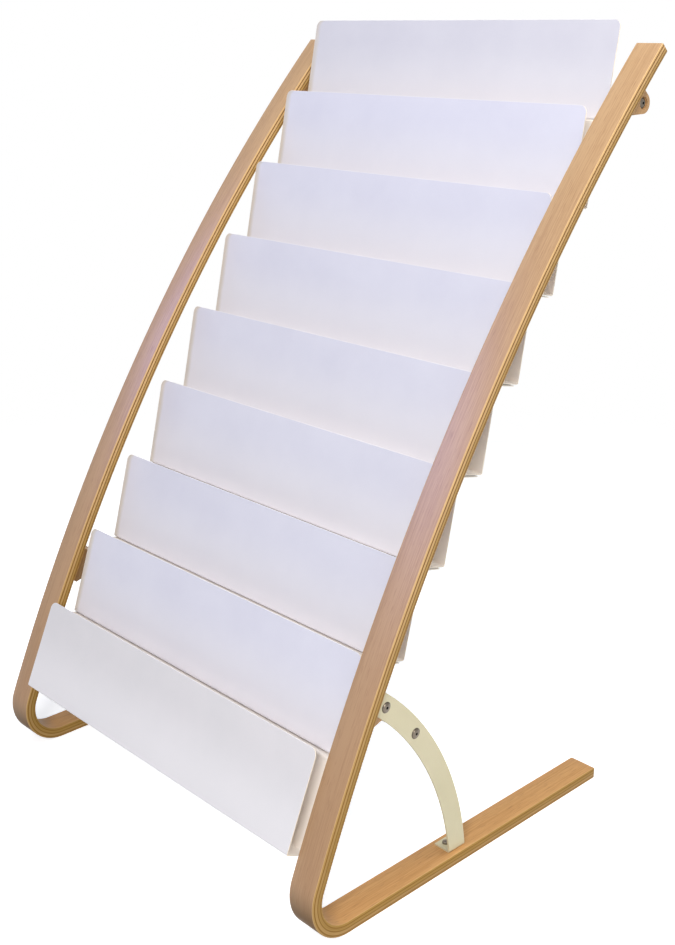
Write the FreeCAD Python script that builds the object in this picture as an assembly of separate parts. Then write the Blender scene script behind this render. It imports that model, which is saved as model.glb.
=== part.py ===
"""Brochure display stand: a header panel and eight trays of bent sheet, hung between two bent beech frames.

Millimetres. X runs across the stand, Y from its front to its back, and Z up from the floor.
The origin is on the floor, under the middle of the stand.
"""
import FreeCAD, Part
import math
import os

# Side frames, each one strip of bent laminated beech
strip_width = 50.0
strip_thickness = 19.0
strip_edge_round = 2.0
foot_length = 589.0
floor_bend_radius = 70.0
upright_radius = 3610.0
upright_base_lean = 21.94
tray_end_clearance = 7.0

# Sheet of the header and the trays
tray_count = 8
tray_width = 700.0
sheet_thickness = 1.5
sheet_bend_radius = 2.0
lip_height = 155.0
lip_corner_radius = 12.0
tray_depth = 42.5
back_height = 138.0
back_in_front_of_upper_lip = 8.5
flange_short_of_upper_back = 10.0

# How much more the lowest tray leans than the header, and how fast that grows downward
lowest_tray_extra_lean = 11.4
lean_growth = 4.4

# Rivets that join each tray to the piece above it
rivets_per_tray = 4
rivet_end_margin = 50.0
rivet_from_lip = 20.0
rivet_diameter = 4.0
rivet_head_diameter = 8.0
rivet_head_height = 1.2
rivet_tail_diameter = 6.5
rivet_tail_height = 2.0
spacer_diameter = 9.0
spacer_thickness = 1.5

# Lugs behind the uprights, and their dowels
upper_bolt_from_top = 85.0
upper_bolt_behind_upright = 23.5
lower_bolt_from_bend = 269.5
lower_bolt_behind_upright = 22.0
lug_round_radius = 16.5
lug_lower_slope = 46.0
dowel_diameter = 8.0
dowel_length = 22.0
dowel_in_strip = 12.0
dowel_pitch = 26.0

# Frame bolts, and the end tabs that they are screwed to
header_bolt_from_lip = 31.0
header_bolt_above_bottom = 33.0
tray_count_below_bolts = 1
tray_bolt_from_lip = 19.5
tray_bolt_above_bottom = 94.0
tab_width = 23.0
bolt_diameter = 6.0
bolt_head_diameter = 17.0
bolt_head_height = 2.5
bolt_socket_width = 4.0
bolt_socket_depth = 3.0
bolt_past_nut = 1.5
counterbore_diameter = 20.0
counterbore_depth = 3.0
nut_diameter = 11.0
nut_height = 5.0

# Arc braces, the rod between them and the screws in the feet
brace_inset = 9.0
brace_thickness = 3.0
brace_width = 35.0
brace_radius = 478.0
brace_foot_behind_bend = 241.0
brace_flange_length = 31.0
brace_bend_radius = 1.0
brace_end_clearance = 1.0
stretcher_from_frame_bolt = 90.0
stretcher_diameter = 12.0
stretcher_bolt_length = 20.0
stretcher_hole_depth = 24.0
foot_screw_diameter = 4.0
foot_screw_length = 13.0
foot_screw_head_diameter = 10.0
foot_screw_head_height = 3.0
foot_screw_from_plate = 20.0
foot_screw_before_middle = 5.0
foot_screw_slot_width = 1.2
foot_screw_slot_depth = 1.5

# Room left round shanks, dowels and rivets, on the radius and at blind ends
hole_clearance = 0.3

ACROSS = FreeCAD.Vector(1, 0, 0)
BACK = FreeCAD.Vector(0, 1, 0)
UP = FreeCAD.Vector(0, 0, 1)
ORIGIN = FreeCAD.Vector(0, 0, 0)


def point(y, z, x=0.0):
    return FreeCAD.Vector(x, y, z)


def line(start, end):
    return Part.makeLine(start, end)


def arc(start, middle, end):
    return Part.Arc(start, middle, end).toShape()


def prism(edges, x_start, x_end):
    """Solid with the section that the edges close, from one place across the stand to another."""
    section = Part.Face(Part.Wire(Part.__sortEdges__(edges)))
    solid = section.extrude(ACROSS * (x_end - x_start))
    solid.translate(ACROSS * x_start)
    return solid


def rod(diameter, start, direction, length):
    return Part.makeCylinder(diameter / 2, length, start, direction)


def hole(diameter, start, direction, length):
    """Cutter for a shank of that diameter: wider by the clearance, and longer by it at both ends."""
    return rod(diameter + 2 * hole_clearance, start - direction * hole_clearance, direction,
               length + 2 * hole_clearance)


def mirrored(shape):
    return shape.mirror(ORIGIN, ACROSS)


def both_sides(shapes):
    return Part.makeCompound(shapes + [mirrored(shape) for shape in shapes])


# Places across the stand, on its right-hand side
tray_end_x = tray_width / 2
frame_clear_width = tray_width + 2 * tray_end_clearance
strip_inner_x = frame_clear_width / 2
strip_outer_x = strip_inner_x + strip_width
brace_outer_x = strip_outer_x - brace_inset
lug_outer_x = brace_outer_x - brace_thickness
tab_inner_x = tray_end_x - sheet_thickness
nut_inner_x = tab_inner_x - nut_height
bolt_end_x = nut_inner_x - bolt_past_nut

# Header and trays as one block
def upward(lean):
    return point(math.sin(lean), math.cos(lean))


def rearward(lean):
    return point(math.cos(lean), -math.sin(lean))


def extra_lean(index):
    """How much more a tray leans than the header (index 0), in radians."""
    return math.radians(lowest_tray_extra_lean * (index / tray_count) ** lean_growth)


def corners_of_pieces(header_corner, lean_of_header):
    """Bottom front corners, from the header down: each back panel ends under the piece above."""
    corner = header_corner
    lean = lean_of_header
    corners = [corner]
    for index in range(1, tray_count + 1):
        under_flange = corner - upward(lean) * (spacer_thickness + sheet_thickness)
        top_of_back = under_flange - rearward(lean) * back_in_front_of_upper_lip
        lean = lean_of_header + extra_lean(index)
        corner = top_of_back - upward(lean) * back_height - rearward(lean) * tray_depth
        corners.append(corner)
    return corners


bolted_tray = tray_count - tray_count_below_bolts


def bolt_line_of_level_block():
    """From the header's bolt to the bolted tray's, with the header's lip upright."""
    tray_lean = extra_lean(bolted_tray)
    tray_corner = corners_of_pieces(ORIGIN, 0.0)[bolted_tray]
    from_corner = rearward(tray_lean) * tray_bolt_from_lip + upward(tray_lean) * tray_bolt_above_bottom
    return tray_corner + from_corner - point(header_bolt_from_lip, header_bolt_above_bottom)


bolt_line = bolt_line_of_level_block()

# Side view of a frame: the upright is as long as the block's bolts need, its arc meets the floor bend in a
# tangent, and the stand's box is centred on the origin
base_lean = math.radians(upright_base_lean)
upper_bolt_radius = upright_radius - strip_thickness - upper_bolt_behind_upright
lower_bolt_radius = upright_radius - strip_thickness - lower_bolt_behind_upright
angle_between_bolts = math.acos((upper_bolt_radius ** 2 + lower_bolt_radius ** 2 - bolt_line.Length ** 2)
                                / (2 * upper_bolt_radius * lower_bolt_radius))
upright_length = lower_bolt_from_bend + angle_between_bolts * upright_radius + upper_bolt_from_top
top_lean = base_lean + upright_length / upright_radius
bend_to_rear = ((upright_radius - floor_bend_radius) * math.cos(base_lean)
                - (upright_radius - strip_thickness) * math.cos(top_lean))
bend_centre = point((floor_bend_radius - bend_to_rear) / 2, floor_bend_radius)


def forward_of_lean(lean):
    """Direction square to a strip that leans back by an angle, out of its front face."""
    return point(-math.cos(lean), math.sin(lean))


upright_centre = bend_centre - forward_of_lean(base_lean) * (upright_radius - floor_bend_radius)


def bend_point(lean, depth):
    return bend_centre + forward_of_lean(lean) * (floor_bend_radius - depth)


def upright_point(lean, depth):
    return upright_centre + forward_of_lean(lean) * (upright_radius - depth)


def lean_of_upright_at(place):
    """Lean of the upright beside a point behind it."""
    out = place - upright_centre
    return math.atan2(out.z, -out.y)


def strip_side(depth):
    """Edges of the strip's section at one depth below its outer face, from foot to top."""
    floor_lean = -math.pi / 2
    foot_end = point(bend_centre.y + foot_length, depth)
    bend_leans = (floor_lean, (floor_lean + base_lean) / 2, base_lean)
    upright_leans = (base_lean, (base_lean + top_lean) / 2, top_lean)
    return [
        line(foot_end, bend_point(floor_lean, depth)),
        arc(*[bend_point(lean, depth) for lean in bend_leans]),
        arc(*[upright_point(lean, depth) for lean in upright_leans]),
    ]


def bare_side_frame():
    outer = strip_side(0.0)
    inner = strip_side(strip_thickness)
    foot_end = bend_centre.y + foot_length
    foot_cap = line(point(foot_end, 0.0), point(foot_end, strip_thickness))
    top_cap = line(upright_point(top_lean, 0.0), upright_point(top_lean, strip_thickness))
    strip = prism(outer + inner + [foot_cap, top_cap], strip_inner_x, strip_outer_x)
    side_edges = [edge for edge in strip.Edges if edge.BoundBox.XLength < strip_edge_round]
    return strip.makeFillet(strip_edge_round, side_edges)


# Bent sheet
def sheet_side(path, bend_radius, offset):
    """Edges and ends of one side of a bent sheet, set off to the left of the path through its middle."""
    edges = []
    ahead = (path[1] - path[0]).normalize()
    first = path[0] + ACROSS.cross(ahead) * offset
    last = first
    for before, corner, after in zip(path, path[1:], path[2:]):
        ahead = (corner - before).normalize()
        onward = (after - corner).normalize()
        turn = ahead.getAngle(onward)
        to_tangent = bend_radius * math.tan(turn / 2)
        to_centre = (onward - ahead).normalize() * (bend_radius / math.cos(turn / 2))
        arc_start = corner - ahead * to_tangent + ACROSS.cross(ahead) * offset
        arc_end = corner + onward * to_tangent + ACROSS.cross(onward) * offset
        centre = corner + to_centre
        arc_middle = centre - to_centre.normalize() * arc_start.distanceToPoint(centre)
        edges += [line(last, arc_start), arc(arc_start, arc_middle, arc_end)]
        last = arc_end
    ahead = (path[-1] - path[-2]).normalize()
    end = path[-1] + ACROSS.cross(ahead) * offset
    return edges + [line(last, end)], first, end


def bent_sheet(path, thickness, inner_radius, x_start, x_end):
    middle_radius = inner_radius + thickness / 2
    left, left_start, left_end = sheet_side(path, middle_radius, thickness / 2)
    right, right_start, right_end = sheet_side(path, middle_radius, -thickness / 2)
    caps = [line(left_start, right_start), line(left_end, right_end)]
    return prism(left + right + caps, x_start, x_end)


def tray_sheet(path):
    """Sheet of the header or of a tray, as wide as the trays, with its lip's top corners rounded."""
    sheet = bent_sheet(path, sheet_thickness, sheet_bend_radius, -tray_end_x, tray_end_x)
    return round_lip_corners(sheet)


def round_lip_corners(sheet):
    """Round the two top corners of a lip that stands at the front of its piece."""
    middles = [point(sheet_thickness / 2, lip_height, x) for x in (-tray_end_x, tray_end_x)]
    corners = [edge for edge in sheet.Edges for middle in middles
               if edge.CenterOfMass.distanceToPoint(middle) < sheet_thickness / 2]
    return sheet.makeFillet(lip_corner_radius, corners)


# Where the block stands: its two bolts set its lean, and each piece has its bottom front corner
upper_bolt_lean = top_lean - upper_bolt_from_top / upright_radius
lower_bolt_lean = base_lean + lower_bolt_from_bend / upright_radius
upper_bolt = upright_point(upper_bolt_lean, strip_thickness + upper_bolt_behind_upright)
lower_bolt = upright_point(lower_bolt_lean, strip_thickness + lower_bolt_behind_upright)


def slope(direction):
    return math.atan2(direction.z, direction.y)


header_lean = slope(bolt_line) - slope(lower_bolt - upper_bolt)
header_corner = (upper_bolt - rearward(header_lean) * header_bolt_from_lip
                 - upward(header_lean) * header_bolt_above_bottom)
piece_corners = corners_of_pieces(header_corner, header_lean)


def lean_of_piece(index):
    return header_lean + extra_lean(index)


def put_in_place(shape, index):
    """Move a piece from its own frame (lip upright, bottom front corner at the origin) to its place."""
    turn = FreeCAD.Rotation(ACROSS, -math.degrees(lean_of_piece(index)))
    return shape.transformGeometry(FreeCAD.Placement(piece_corners[index], turn).toMatrix())


def rivet_places():
    """Places across the stand, evenly spaced, of the rivets of one joint."""
    first = -tray_width / 2 + rivet_end_margin
    pitch = (tray_width - 2 * rivet_end_margin) / (rivets_per_tray - 1)
    return [first + pitch * number for number in range(rivets_per_tray)]


def rivet_holes_in_bottom():
    return [hole(rivet_diameter, point(rivet_from_lip, 0.0, x), UP, sheet_thickness) for x in rivet_places()]


def rivet_holes_in_flange(index):
    """Cutters, in the frame of the piece above, moved to where a tray's flange lies under it."""
    under = -spacer_thickness - sheet_thickness
    places = [point(rivet_from_lip, under, x) for x in rivet_places()]
    cutters = [hole(rivet_diameter, place, UP, sheet_thickness) for place in places]
    return [put_in_place(cutter, index - 1) for cutter in cutters]


def end_tab(from_lip, above_bottom, root, toward_root):
    """Right-hand end tab: a round end about the bolt, and straight sides to the sheet it is folded from."""
    bolt = point(from_lip, above_bottom)
    side = ACROSS.cross(toward_root) * (tab_width / 2)
    far = bolt - toward_root * (tab_width / 2)
    outline = [
        arc(bolt + side, far, bolt - side),
        line(bolt - side, bolt - side + toward_root * root),
        line(bolt - side + toward_root * root, bolt + side + toward_root * root),
        line(bolt + side + toward_root * root, bolt + side),
    ]
    tab = prism(outline, tab_inner_x, tray_end_x)
    return tab.cut(hole(bolt_diameter, bolt + ACROSS * tab_inner_x, ACROSS, sheet_thickness))


def header_panel():
    half = sheet_thickness / 2
    path = [point(half, lip_height), point(half, half), point(tray_depth, half)]
    sheet = tray_sheet(path)
    tab = end_tab(header_bolt_from_lip, header_bolt_above_bottom, header_bolt_above_bottom - half, -UP)
    panel = sheet.fuse([tab, mirrored(tab)]).removeSplitter()
    return put_in_place(panel.cut(rivet_holes_in_bottom()), 0)


def tray(index):
    half = sheet_thickness / 2
    turn = lean_of_piece(index) - lean_of_piece(index - 1)
    along_flange = point(math.cos(turn), math.sin(turn))
    flange_start = point(tray_depth, back_height) + ACROSS.cross(along_flange) * half
    flange_length = back_in_front_of_upper_lip + tray_depth - flange_short_of_upper_back
    flange_to_back = (-half - flange_start.y + tray_depth) / along_flange.y
    path = [
        point(half, lip_height),
        point(half, half),
        point(tray_depth - half, half),
        flange_start + along_flange * flange_to_back,
        flange_start + along_flange * flange_length,
    ]
    sheet = tray_sheet(path)
    if index == bolted_tray:
        to_back = tray_depth - half - tray_bolt_from_lip
        tab = end_tab(tray_bolt_from_lip, tray_bolt_above_bottom, to_back, BACK)
        sheet = sheet.fuse([tab, mirrored(tab)]).removeSplitter()
    if index < tray_count:
        sheet = sheet.cut(rivet_holes_in_bottom())
    return put_in_place(sheet, index).cut(rivet_holes_in_flange(index))


def tray_rivets():
    """Rivets of all joints: a low head on the bottom above, and a tail under the flange below."""
    rivets = []
    grip = 2 * sheet_thickness + spacer_thickness
    under = -spacer_thickness - sheet_thickness
    for index in range(tray_count):
        for x in rivet_places():
            bottom = point(rivet_from_lip, under, x)
            shank = rod(rivet_diameter, bottom, UP, grip)
            head = rod(rivet_head_diameter, bottom + UP * grip, UP, rivet_head_height)
            tail = rod(rivet_tail_diameter, bottom - UP * rivet_tail_height, UP, rivet_tail_height)
            rivets.append(put_in_place(shank.fuse([head, tail]).removeSplitter(), index))
    return Part.makeCompound(rivets)


def tray_spacers():
    spacers = []
    for index in range(tray_count):
        for x in rivet_places():
            bottom = point(rivet_from_lip, -spacer_thickness, x)
            ring = rod(spacer_diameter, bottom, UP, spacer_thickness)
            spacers.append(put_in_place(ring.cut(hole(rivet_diameter, bottom, UP, spacer_thickness)), index))
    return Part.makeCompound(spacers)


# Lugs, dowels and frame bolts
lower_slope = math.radians(lug_lower_slope)


def beside_bolt(bolt, up, back):
    """Point beside a frame bolt: up along the upright from it, and back square to the upright."""
    lean = lean_of_upright_at(bolt)
    return bolt + upward(lean) * up + rearward(lean) * back


def glue_line_back(bolt):
    """How far back from the bolt the upright's rear face lies, which is less than nothing."""
    return bolt.distanceToPoint(upright_centre) + strip_thickness - upright_radius


def slanted_side_up(back):
    """How far up from the bolt a lug's slanted lower side lies, at a distance back from the bolt."""
    tangent_up = -lug_round_radius * math.sin(lower_slope)
    tangent_back = lug_round_radius * math.cos(lower_slope)
    return tangent_up - (tangent_back - back) / math.tan(lower_slope)


def lug_dowels_at(bolt):
    """Dowels of one right-hand lug: across its glue line, evenly about the line's middle."""
    glue_back = glue_line_back(bolt)
    middle_up = (lug_round_radius + slanted_side_up(glue_back)) / 2
    middle_x = (strip_inner_x + lug_outer_x) / 2
    places = []
    for step in (-dowel_pitch / 2, dowel_pitch / 2):
        places.append(beside_bolt(bolt, middle_up + step, glue_back - dowel_in_strip) + ACROSS * middle_x)
    return places, rearward(lean_of_upright_at(bolt))


def dowel_holes_at(bolt):
    places, direction = lug_dowels_at(bolt)
    return [hole(dowel_diameter, place, direction, dowel_length) for place in places]


def lug(bolt, has_counterbore):
    """Right-hand lug: a square upper side, a round end about the bolt and a slanted lower side."""
    inside_back = glue_line_back(bolt) - strip_thickness / 2
    upper_corner = beside_bolt(bolt, lug_round_radius, inside_back)
    lower_corner = beside_bolt(bolt, slanted_side_up(inside_back), inside_back)
    round_turn = math.pi / 2 + lower_slope
    round_end = [beside_bolt(bolt, lug_round_radius * math.cos(turn), lug_round_radius * math.sin(turn))
                 for turn in (0.0, round_turn / 2, round_turn)]
    outline = [
        line(lower_corner, upper_corner),
        line(upper_corner, round_end[0]),
        arc(*round_end),
        line(round_end[2], lower_corner),
    ]
    block = prism(outline, tray_end_x, lug_outer_x)
    behind_upright = rod(2 * (upright_radius - strip_thickness), upright_centre, ACROSS, strip_outer_x)
    block = block.common(behind_upright)
    cutters = [hole(bolt_diameter, bolt + ACROSS * tray_end_x, ACROSS, lug_outer_x - tray_end_x)]
    if has_counterbore:
        seat = bolt + ACROSS * (lug_outer_x - counterbore_depth)
        cutters.append(rod(counterbore_diameter, seat, ACROSS, counterbore_depth))
    return block.cut(cutters + dowel_holes_at(bolt))


def lug_dowels():
    dowels = []
    for bolt in (upper_bolt, lower_bolt):
        places, direction = lug_dowels_at(bolt)
        dowels += [rod(dowel_diameter, place, direction, dowel_length) for place in places]
    return both_sides(dowels)


def flat_head_bolt(bolt, seat_x, end_x):
    """Bolt whose flat head bears on a seat on its right, with a hexagon socket, and whose end lies inward."""
    shank = rod(bolt_diameter, bolt + ACROSS * end_x, ACROSS, seat_x - end_x)
    head = rod(bolt_head_diameter, bolt + ACROSS * seat_x, ACROSS, bolt_head_height)
    corner_radius = bolt_socket_width / math.sqrt(3)
    corners = []
    for number in range(6):
        angle = math.radians(60 * number)
        corners.append(bolt + point(math.cos(angle), math.sin(angle)) * corner_radius)
    sides = [line(start, end) for start, end in zip(corners, corners[1:] + corners[:1])]
    face_x = seat_x + bolt_head_height
    socket = prism(sides, face_x - bolt_socket_depth, face_x)
    return head.fuse(shank).removeSplitter().cut(socket)


def frame_nut(bolt):
    body = rod(nut_diameter, bolt + ACROSS * nut_inner_x, ACROSS, nut_height)
    return body.cut(hole(bolt_diameter, bolt + ACROSS * nut_inner_x, ACROSS, nut_height))


# Braces: the arc goes through the lower frame bolt and a point on the foot
brace_foot = point(bend_centre.y + brace_foot_behind_bend, strip_thickness)


def brace_arc_centre():
    chord = brace_foot - lower_bolt
    half_chord = chord.Length / 2
    forward = ACROSS.cross(chord).normalize() * -1
    return lower_bolt + chord * 0.5 + forward * math.sqrt(brace_radius ** 2 - half_chord ** 2)


brace_centre = brace_arc_centre()


def brace_direction(angle):
    return point(math.cos(angle), math.sin(angle))


def angle_on_brace(place):
    out = place - brace_centre
    return math.atan2(out.z, out.y)


frame_bolt_angle = angle_on_brace(lower_bolt)
stretcher_angle = frame_bolt_angle - stretcher_from_frame_bolt / brace_radius
stretcher_place = brace_centre + brace_direction(stretcher_angle) * brace_radius
foot_screw_place = (brace_foot + ACROSS * (brace_outer_x - foot_screw_from_plate)
                    - BACK * foot_screw_before_middle)


def brace_band():
    """The brace seen from the side, as wide as its flange: an arc from short of the upright to the foot."""
    low = angle_on_brace(brace_foot) - brace_width / brace_radius
    past_upright = lower_bolt_behind_upright + strip_thickness + brace_width
    high = frame_bolt_angle + past_upright / brace_radius
    directions = [brace_direction(angle) for angle in (low, (low + high) / 2, high)]
    inner = [brace_centre + direction * (brace_radius - brace_width / 2) for direction in directions]
    outer = [brace_centre + direction * (brace_radius + brace_width / 2) for direction in directions]
    outline = [arc(*inner), arc(*outer), line(inner[0], outer[0]), line(inner[2], outer[2])]
    band = prism(outline, brace_outer_x - brace_flange_length, brace_outer_x)
    behind_upright = rod(2 * (upright_radius - strip_thickness - brace_end_clearance), upright_centre, ACROSS,
                         strip_outer_x)
    return band.common(behind_upright)


def arc_brace():
    """Right-hand brace: a flat strip with its foot bent inward, cut to the outline of the band."""
    half = brace_thickness / 2
    path = [
        point(brace_flange_length - brace_outer_x, strip_thickness + half),
        point(half - brace_outer_x, strip_thickness + half),
        point(half - brace_outer_x, upper_bolt.z),
    ]
    before_brace = lower_bolt.y - brace_radius
    behind_brace = brace_foot.y + brace_radius
    strip = bent_sheet(path, brace_thickness, brace_bend_radius, before_brace, behind_brace)
    strip.rotate(ORIGIN, UP, 90)
    cutters = [hole(bolt_diameter, place + ACROSS * lug_outer_x, ACROSS, brace_thickness)
               for place in (lower_bolt, stretcher_place)]
    cutters.append(hole(foot_screw_diameter, foot_screw_place, UP, brace_thickness))
    return strip.common(brace_band()).cut(cutters)


def stretcher_rod():
    rod_shape = rod(stretcher_diameter, stretcher_place - ACROSS * lug_outer_x, ACROSS, 2 * lug_outer_x)
    bore = hole(bolt_diameter, stretcher_place + ACROSS * (lug_outer_x - stretcher_hole_depth), ACROSS,
                stretcher_hole_depth)
    return rod_shape.cut([bore, mirrored(bore)])


def foot_screw():
    """Round-headed screw with a cross slot, down through the brace's flange into the foot."""
    seat = foot_screw_place + UP * brace_thickness
    shank = rod(foot_screw_diameter, seat - UP * (brace_thickness + foot_screw_length), UP,
                brace_thickness + foot_screw_length)
    head = rod(foot_screw_head_diameter, seat, UP, foot_screw_head_height)
    slot_length = foot_screw_head_diameter / 2
    slot_bottom = seat + UP * (foot_screw_head_height - foot_screw_slot_depth)
    slots = []
    for along, across in ((slot_length, foot_screw_slot_width), (foot_screw_slot_width, slot_length)):
        corner = slot_bottom - ACROSS * (along / 2) - BACK * (across / 2)
        slots.append(Part.makeBox(along, across, foot_screw_slot_depth, corner))
    return head.fuse(shank).removeSplitter().cut(slots)


def right_side_frame():
    cutters = dowel_holes_at(upper_bolt) + dowel_holes_at(lower_bolt)
    screw_end = foot_screw_place - UP * foot_screw_length
    cutters.append(hole(foot_screw_diameter, screw_end, UP, foot_screw_length))
    return bare_side_frame().cut(cutters)


def stand():
    """Every piece of the stand, by name."""
    frame = right_side_frame()
    upper_lug = lug(upper_bolt, True)
    lower_lug = lug(lower_bolt, False)
    brace = arc_brace()
    upper_frame_bolt = flat_head_bolt(upper_bolt, lug_outer_x - counterbore_depth, bolt_end_x)
    lower_frame_bolt = flat_head_bolt(lower_bolt, brace_outer_x, bolt_end_x)
    stretcher_bolt = flat_head_bolt(stretcher_place, brace_outer_x, lug_outer_x - stretcher_bolt_length)
    pieces = {
        "right_side_frame": frame,
        "left_side_frame": mirrored(frame),
        "upper_right_lug": upper_lug,
        "upper_left_lug": mirrored(upper_lug),
        "lower_right_lug": lower_lug,
        "lower_left_lug": mirrored(lower_lug),
        "right_arc_brace": brace,
        "left_arc_brace": mirrored(brace),
        "header_panel": header_panel(),
        "tray_rivets": tray_rivets(),
        "tray_spacers": tray_spacers(),
        "lug_dowels": lug_dowels(),
        "upper_frame_bolts": both_sides([upper_frame_bolt]),
        "lower_frame_bolts": both_sides([lower_frame_bolt]),
        "frame_nuts": both_sides([frame_nut(upper_bolt), frame_nut(lower_bolt)]),
        "stretcher_rod": stretcher_rod(),
        "stretcher_bolts": both_sides([stretcher_bolt]),
        "foot_screws": both_sides([foot_screw()]),
    }
    for index in range(1, tray_count + 1):
        pieces["tray_%d" % index] = tray(index)
    return pieces


os.makedirs("parts", exist_ok=True)
for name, shape in stand().items():
    shape.exportStep("parts/%s.step" % name)
    box = shape.BoundBox
    print("%-20s solids %2d  valid %s  volume %10.0f  Y %7.1f to %7.1f  Z %7.1f to %7.1f" % (
        name, len(shape.Solids), shape.isValid(), shape.Volume, box.YMin, box.YMax, box.ZMin, box.ZMax))
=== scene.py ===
"""Looks of the brochure display stand: bent beech frames, powder-coated sheet trays and their fittings.

Metres. X runs across the stand, Y from its front to its back, and Z up from the floor.
"""
import bmesh
import bpy
import math
from mathutils import Matrix, Vector


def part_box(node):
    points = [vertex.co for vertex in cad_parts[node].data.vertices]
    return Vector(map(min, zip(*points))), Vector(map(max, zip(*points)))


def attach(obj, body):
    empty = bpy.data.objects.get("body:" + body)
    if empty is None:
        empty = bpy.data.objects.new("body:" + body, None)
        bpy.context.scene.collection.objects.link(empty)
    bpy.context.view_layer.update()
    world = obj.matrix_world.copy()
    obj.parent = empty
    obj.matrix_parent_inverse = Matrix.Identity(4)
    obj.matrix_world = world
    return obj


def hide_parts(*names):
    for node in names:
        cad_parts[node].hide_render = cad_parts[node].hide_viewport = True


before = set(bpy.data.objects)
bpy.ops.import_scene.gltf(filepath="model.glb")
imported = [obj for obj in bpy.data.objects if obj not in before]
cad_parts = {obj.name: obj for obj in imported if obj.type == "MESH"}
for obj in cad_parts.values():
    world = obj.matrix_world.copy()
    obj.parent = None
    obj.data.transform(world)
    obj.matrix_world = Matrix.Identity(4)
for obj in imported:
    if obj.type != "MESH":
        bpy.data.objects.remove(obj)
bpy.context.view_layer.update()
BODY = "root"

# Side frames
TRAY_END_CLEARANCE = 0.007
STRIP_WIDTH = 0.050
STRIP_THICKNESS = 0.019
STRIP_EDGE_ROUND = 0.002
FOOT_END_ROUND = 0.004
TOP_END_ROUND = 0.0012
FOOT_LENGTH = 0.589
FLOOR_BEND_RADIUS = 0.070
UPRIGHT_RADIUS = 3.610
UPRIGHT_BASE_LEAN = math.radians(21.94)
LUG_EDGE_ROUND = 0.0012
SCREW_EDGE_ROUND = 0.0009

# Header and trays
TRAY_COUNT = 8
TRAY_WIDTH = 0.700
SHEET_THICKNESS = 0.0015
SHEET_BEND_RADIUS = 0.002
SHEET_EDGE_ROUND = 0.0004
LIP_HEIGHT = 0.155
LIP_CORNER_RADIUS = 0.012
TRAY_DEPTH = 0.0425
BACK_HEIGHT = 0.138
BACK_IN_FRONT_OF_UPPER_LIP = 0.0085
FLANGE_SHORT_OF_UPPER_BACK = 0.010
SPACER_THICKNESS = 0.0015
LOWEST_TRAY_EXTRA_LEAN = math.radians(11.4)
LEAN_GROWTH = 4.4

# Frame bolts, and the end tabs that they are screwed to
UPPER_BOLT_FROM_TOP = 0.085
UPPER_BOLT_BEHIND_UPRIGHT = 0.0235
LOWER_BOLT_FROM_BEND = 0.2695
LOWER_BOLT_BEHIND_UPRIGHT = 0.022
HEADER_BOLT_FROM_LIP = 0.031
HEADER_BOLT_ABOVE_BOTTOM = 0.033
BOLTED_TRAY = 7
TRAY_BOLT_FROM_LIP = 0.0195
TRAY_BOLT_ABOVE_BOTTOM = 0.094
TAB_WIDTH = 0.023
BOLT_DIAMETER = 0.006
BOLT_HEAD_DIAMETER = 0.017
BOLT_HEAD_HEIGHT = 0.0025
BOLT_HEAD_RIM = 0.0002
BOLT_SOCKET_WIDTH = 0.004
BOLT_SOCKET_DEPTH = 0.003
BOLT_PAST_NUT = 0.0015
NUT_HEIGHT = 0.005
STRETCHER_BOLT_LENGTH = 0.020

# Place across the stand of the frames' sides towards the trays
FRAME_INSIDE_X = TRAY_WIDTH / 2 + TRAY_END_CLEARANCE


def paint(red, green, blue):
    """Linear colour of a colour given in 8-bit sRGB."""
    def linear(value):
        share = value / 255
        return share / 12.92 if share <= 0.04045 else ((share + 0.055) / 1.055) ** 2.4
    return linear(red), linear(green), linear(blue), 1.0


# Places in the side view, as (Y, Z)
def forward_of_lean(lean):
    return Vector((-math.cos(lean), math.sin(lean)))


def upward(lean):
    return Vector((math.sin(lean), math.cos(lean)))


def rearward(lean):
    return Vector((math.cos(lean), -math.sin(lean)))


def extra_lean(index):
    """How much more a tray leans than the header (index 0)."""
    return LOWEST_TRAY_EXTRA_LEAN * (index / TRAY_COUNT) ** LEAN_GROWTH


def corners_of_pieces(header_corner, header_lean):
    """Bottom front corners, from the header down: each back panel ends under the piece above."""
    corner = header_corner
    lean = header_lean
    corners = [corner]
    for index in range(1, TRAY_COUNT + 1):
        under_flange = corner - upward(lean) * (SPACER_THICKNESS + SHEET_THICKNESS)
        top_of_back = under_flange - rearward(lean) * BACK_IN_FRONT_OF_UPPER_LIP
        lean = header_lean + extra_lean(index)
        corner = top_of_back - upward(lean) * BACK_HEIGHT - rearward(lean) * TRAY_DEPTH
        corners.append(corner)
    return corners


def bolt_line_of_level_block():
    """From the header's bolt to the bolted tray's, with the header's lip upright."""
    lean = extra_lean(BOLTED_TRAY)
    corner = corners_of_pieces(Vector((0, 0)), 0.0)[BOLTED_TRAY]
    tray_bolt = corner + rearward(lean) * TRAY_BOLT_FROM_LIP + upward(lean) * TRAY_BOLT_ABOVE_BOTTOM
    return tray_bolt - Vector((HEADER_BOLT_FROM_LIP, HEADER_BOLT_ABOVE_BOTTOM))


def slope(direction):
    return math.atan2(direction.y, direction.x)


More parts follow.
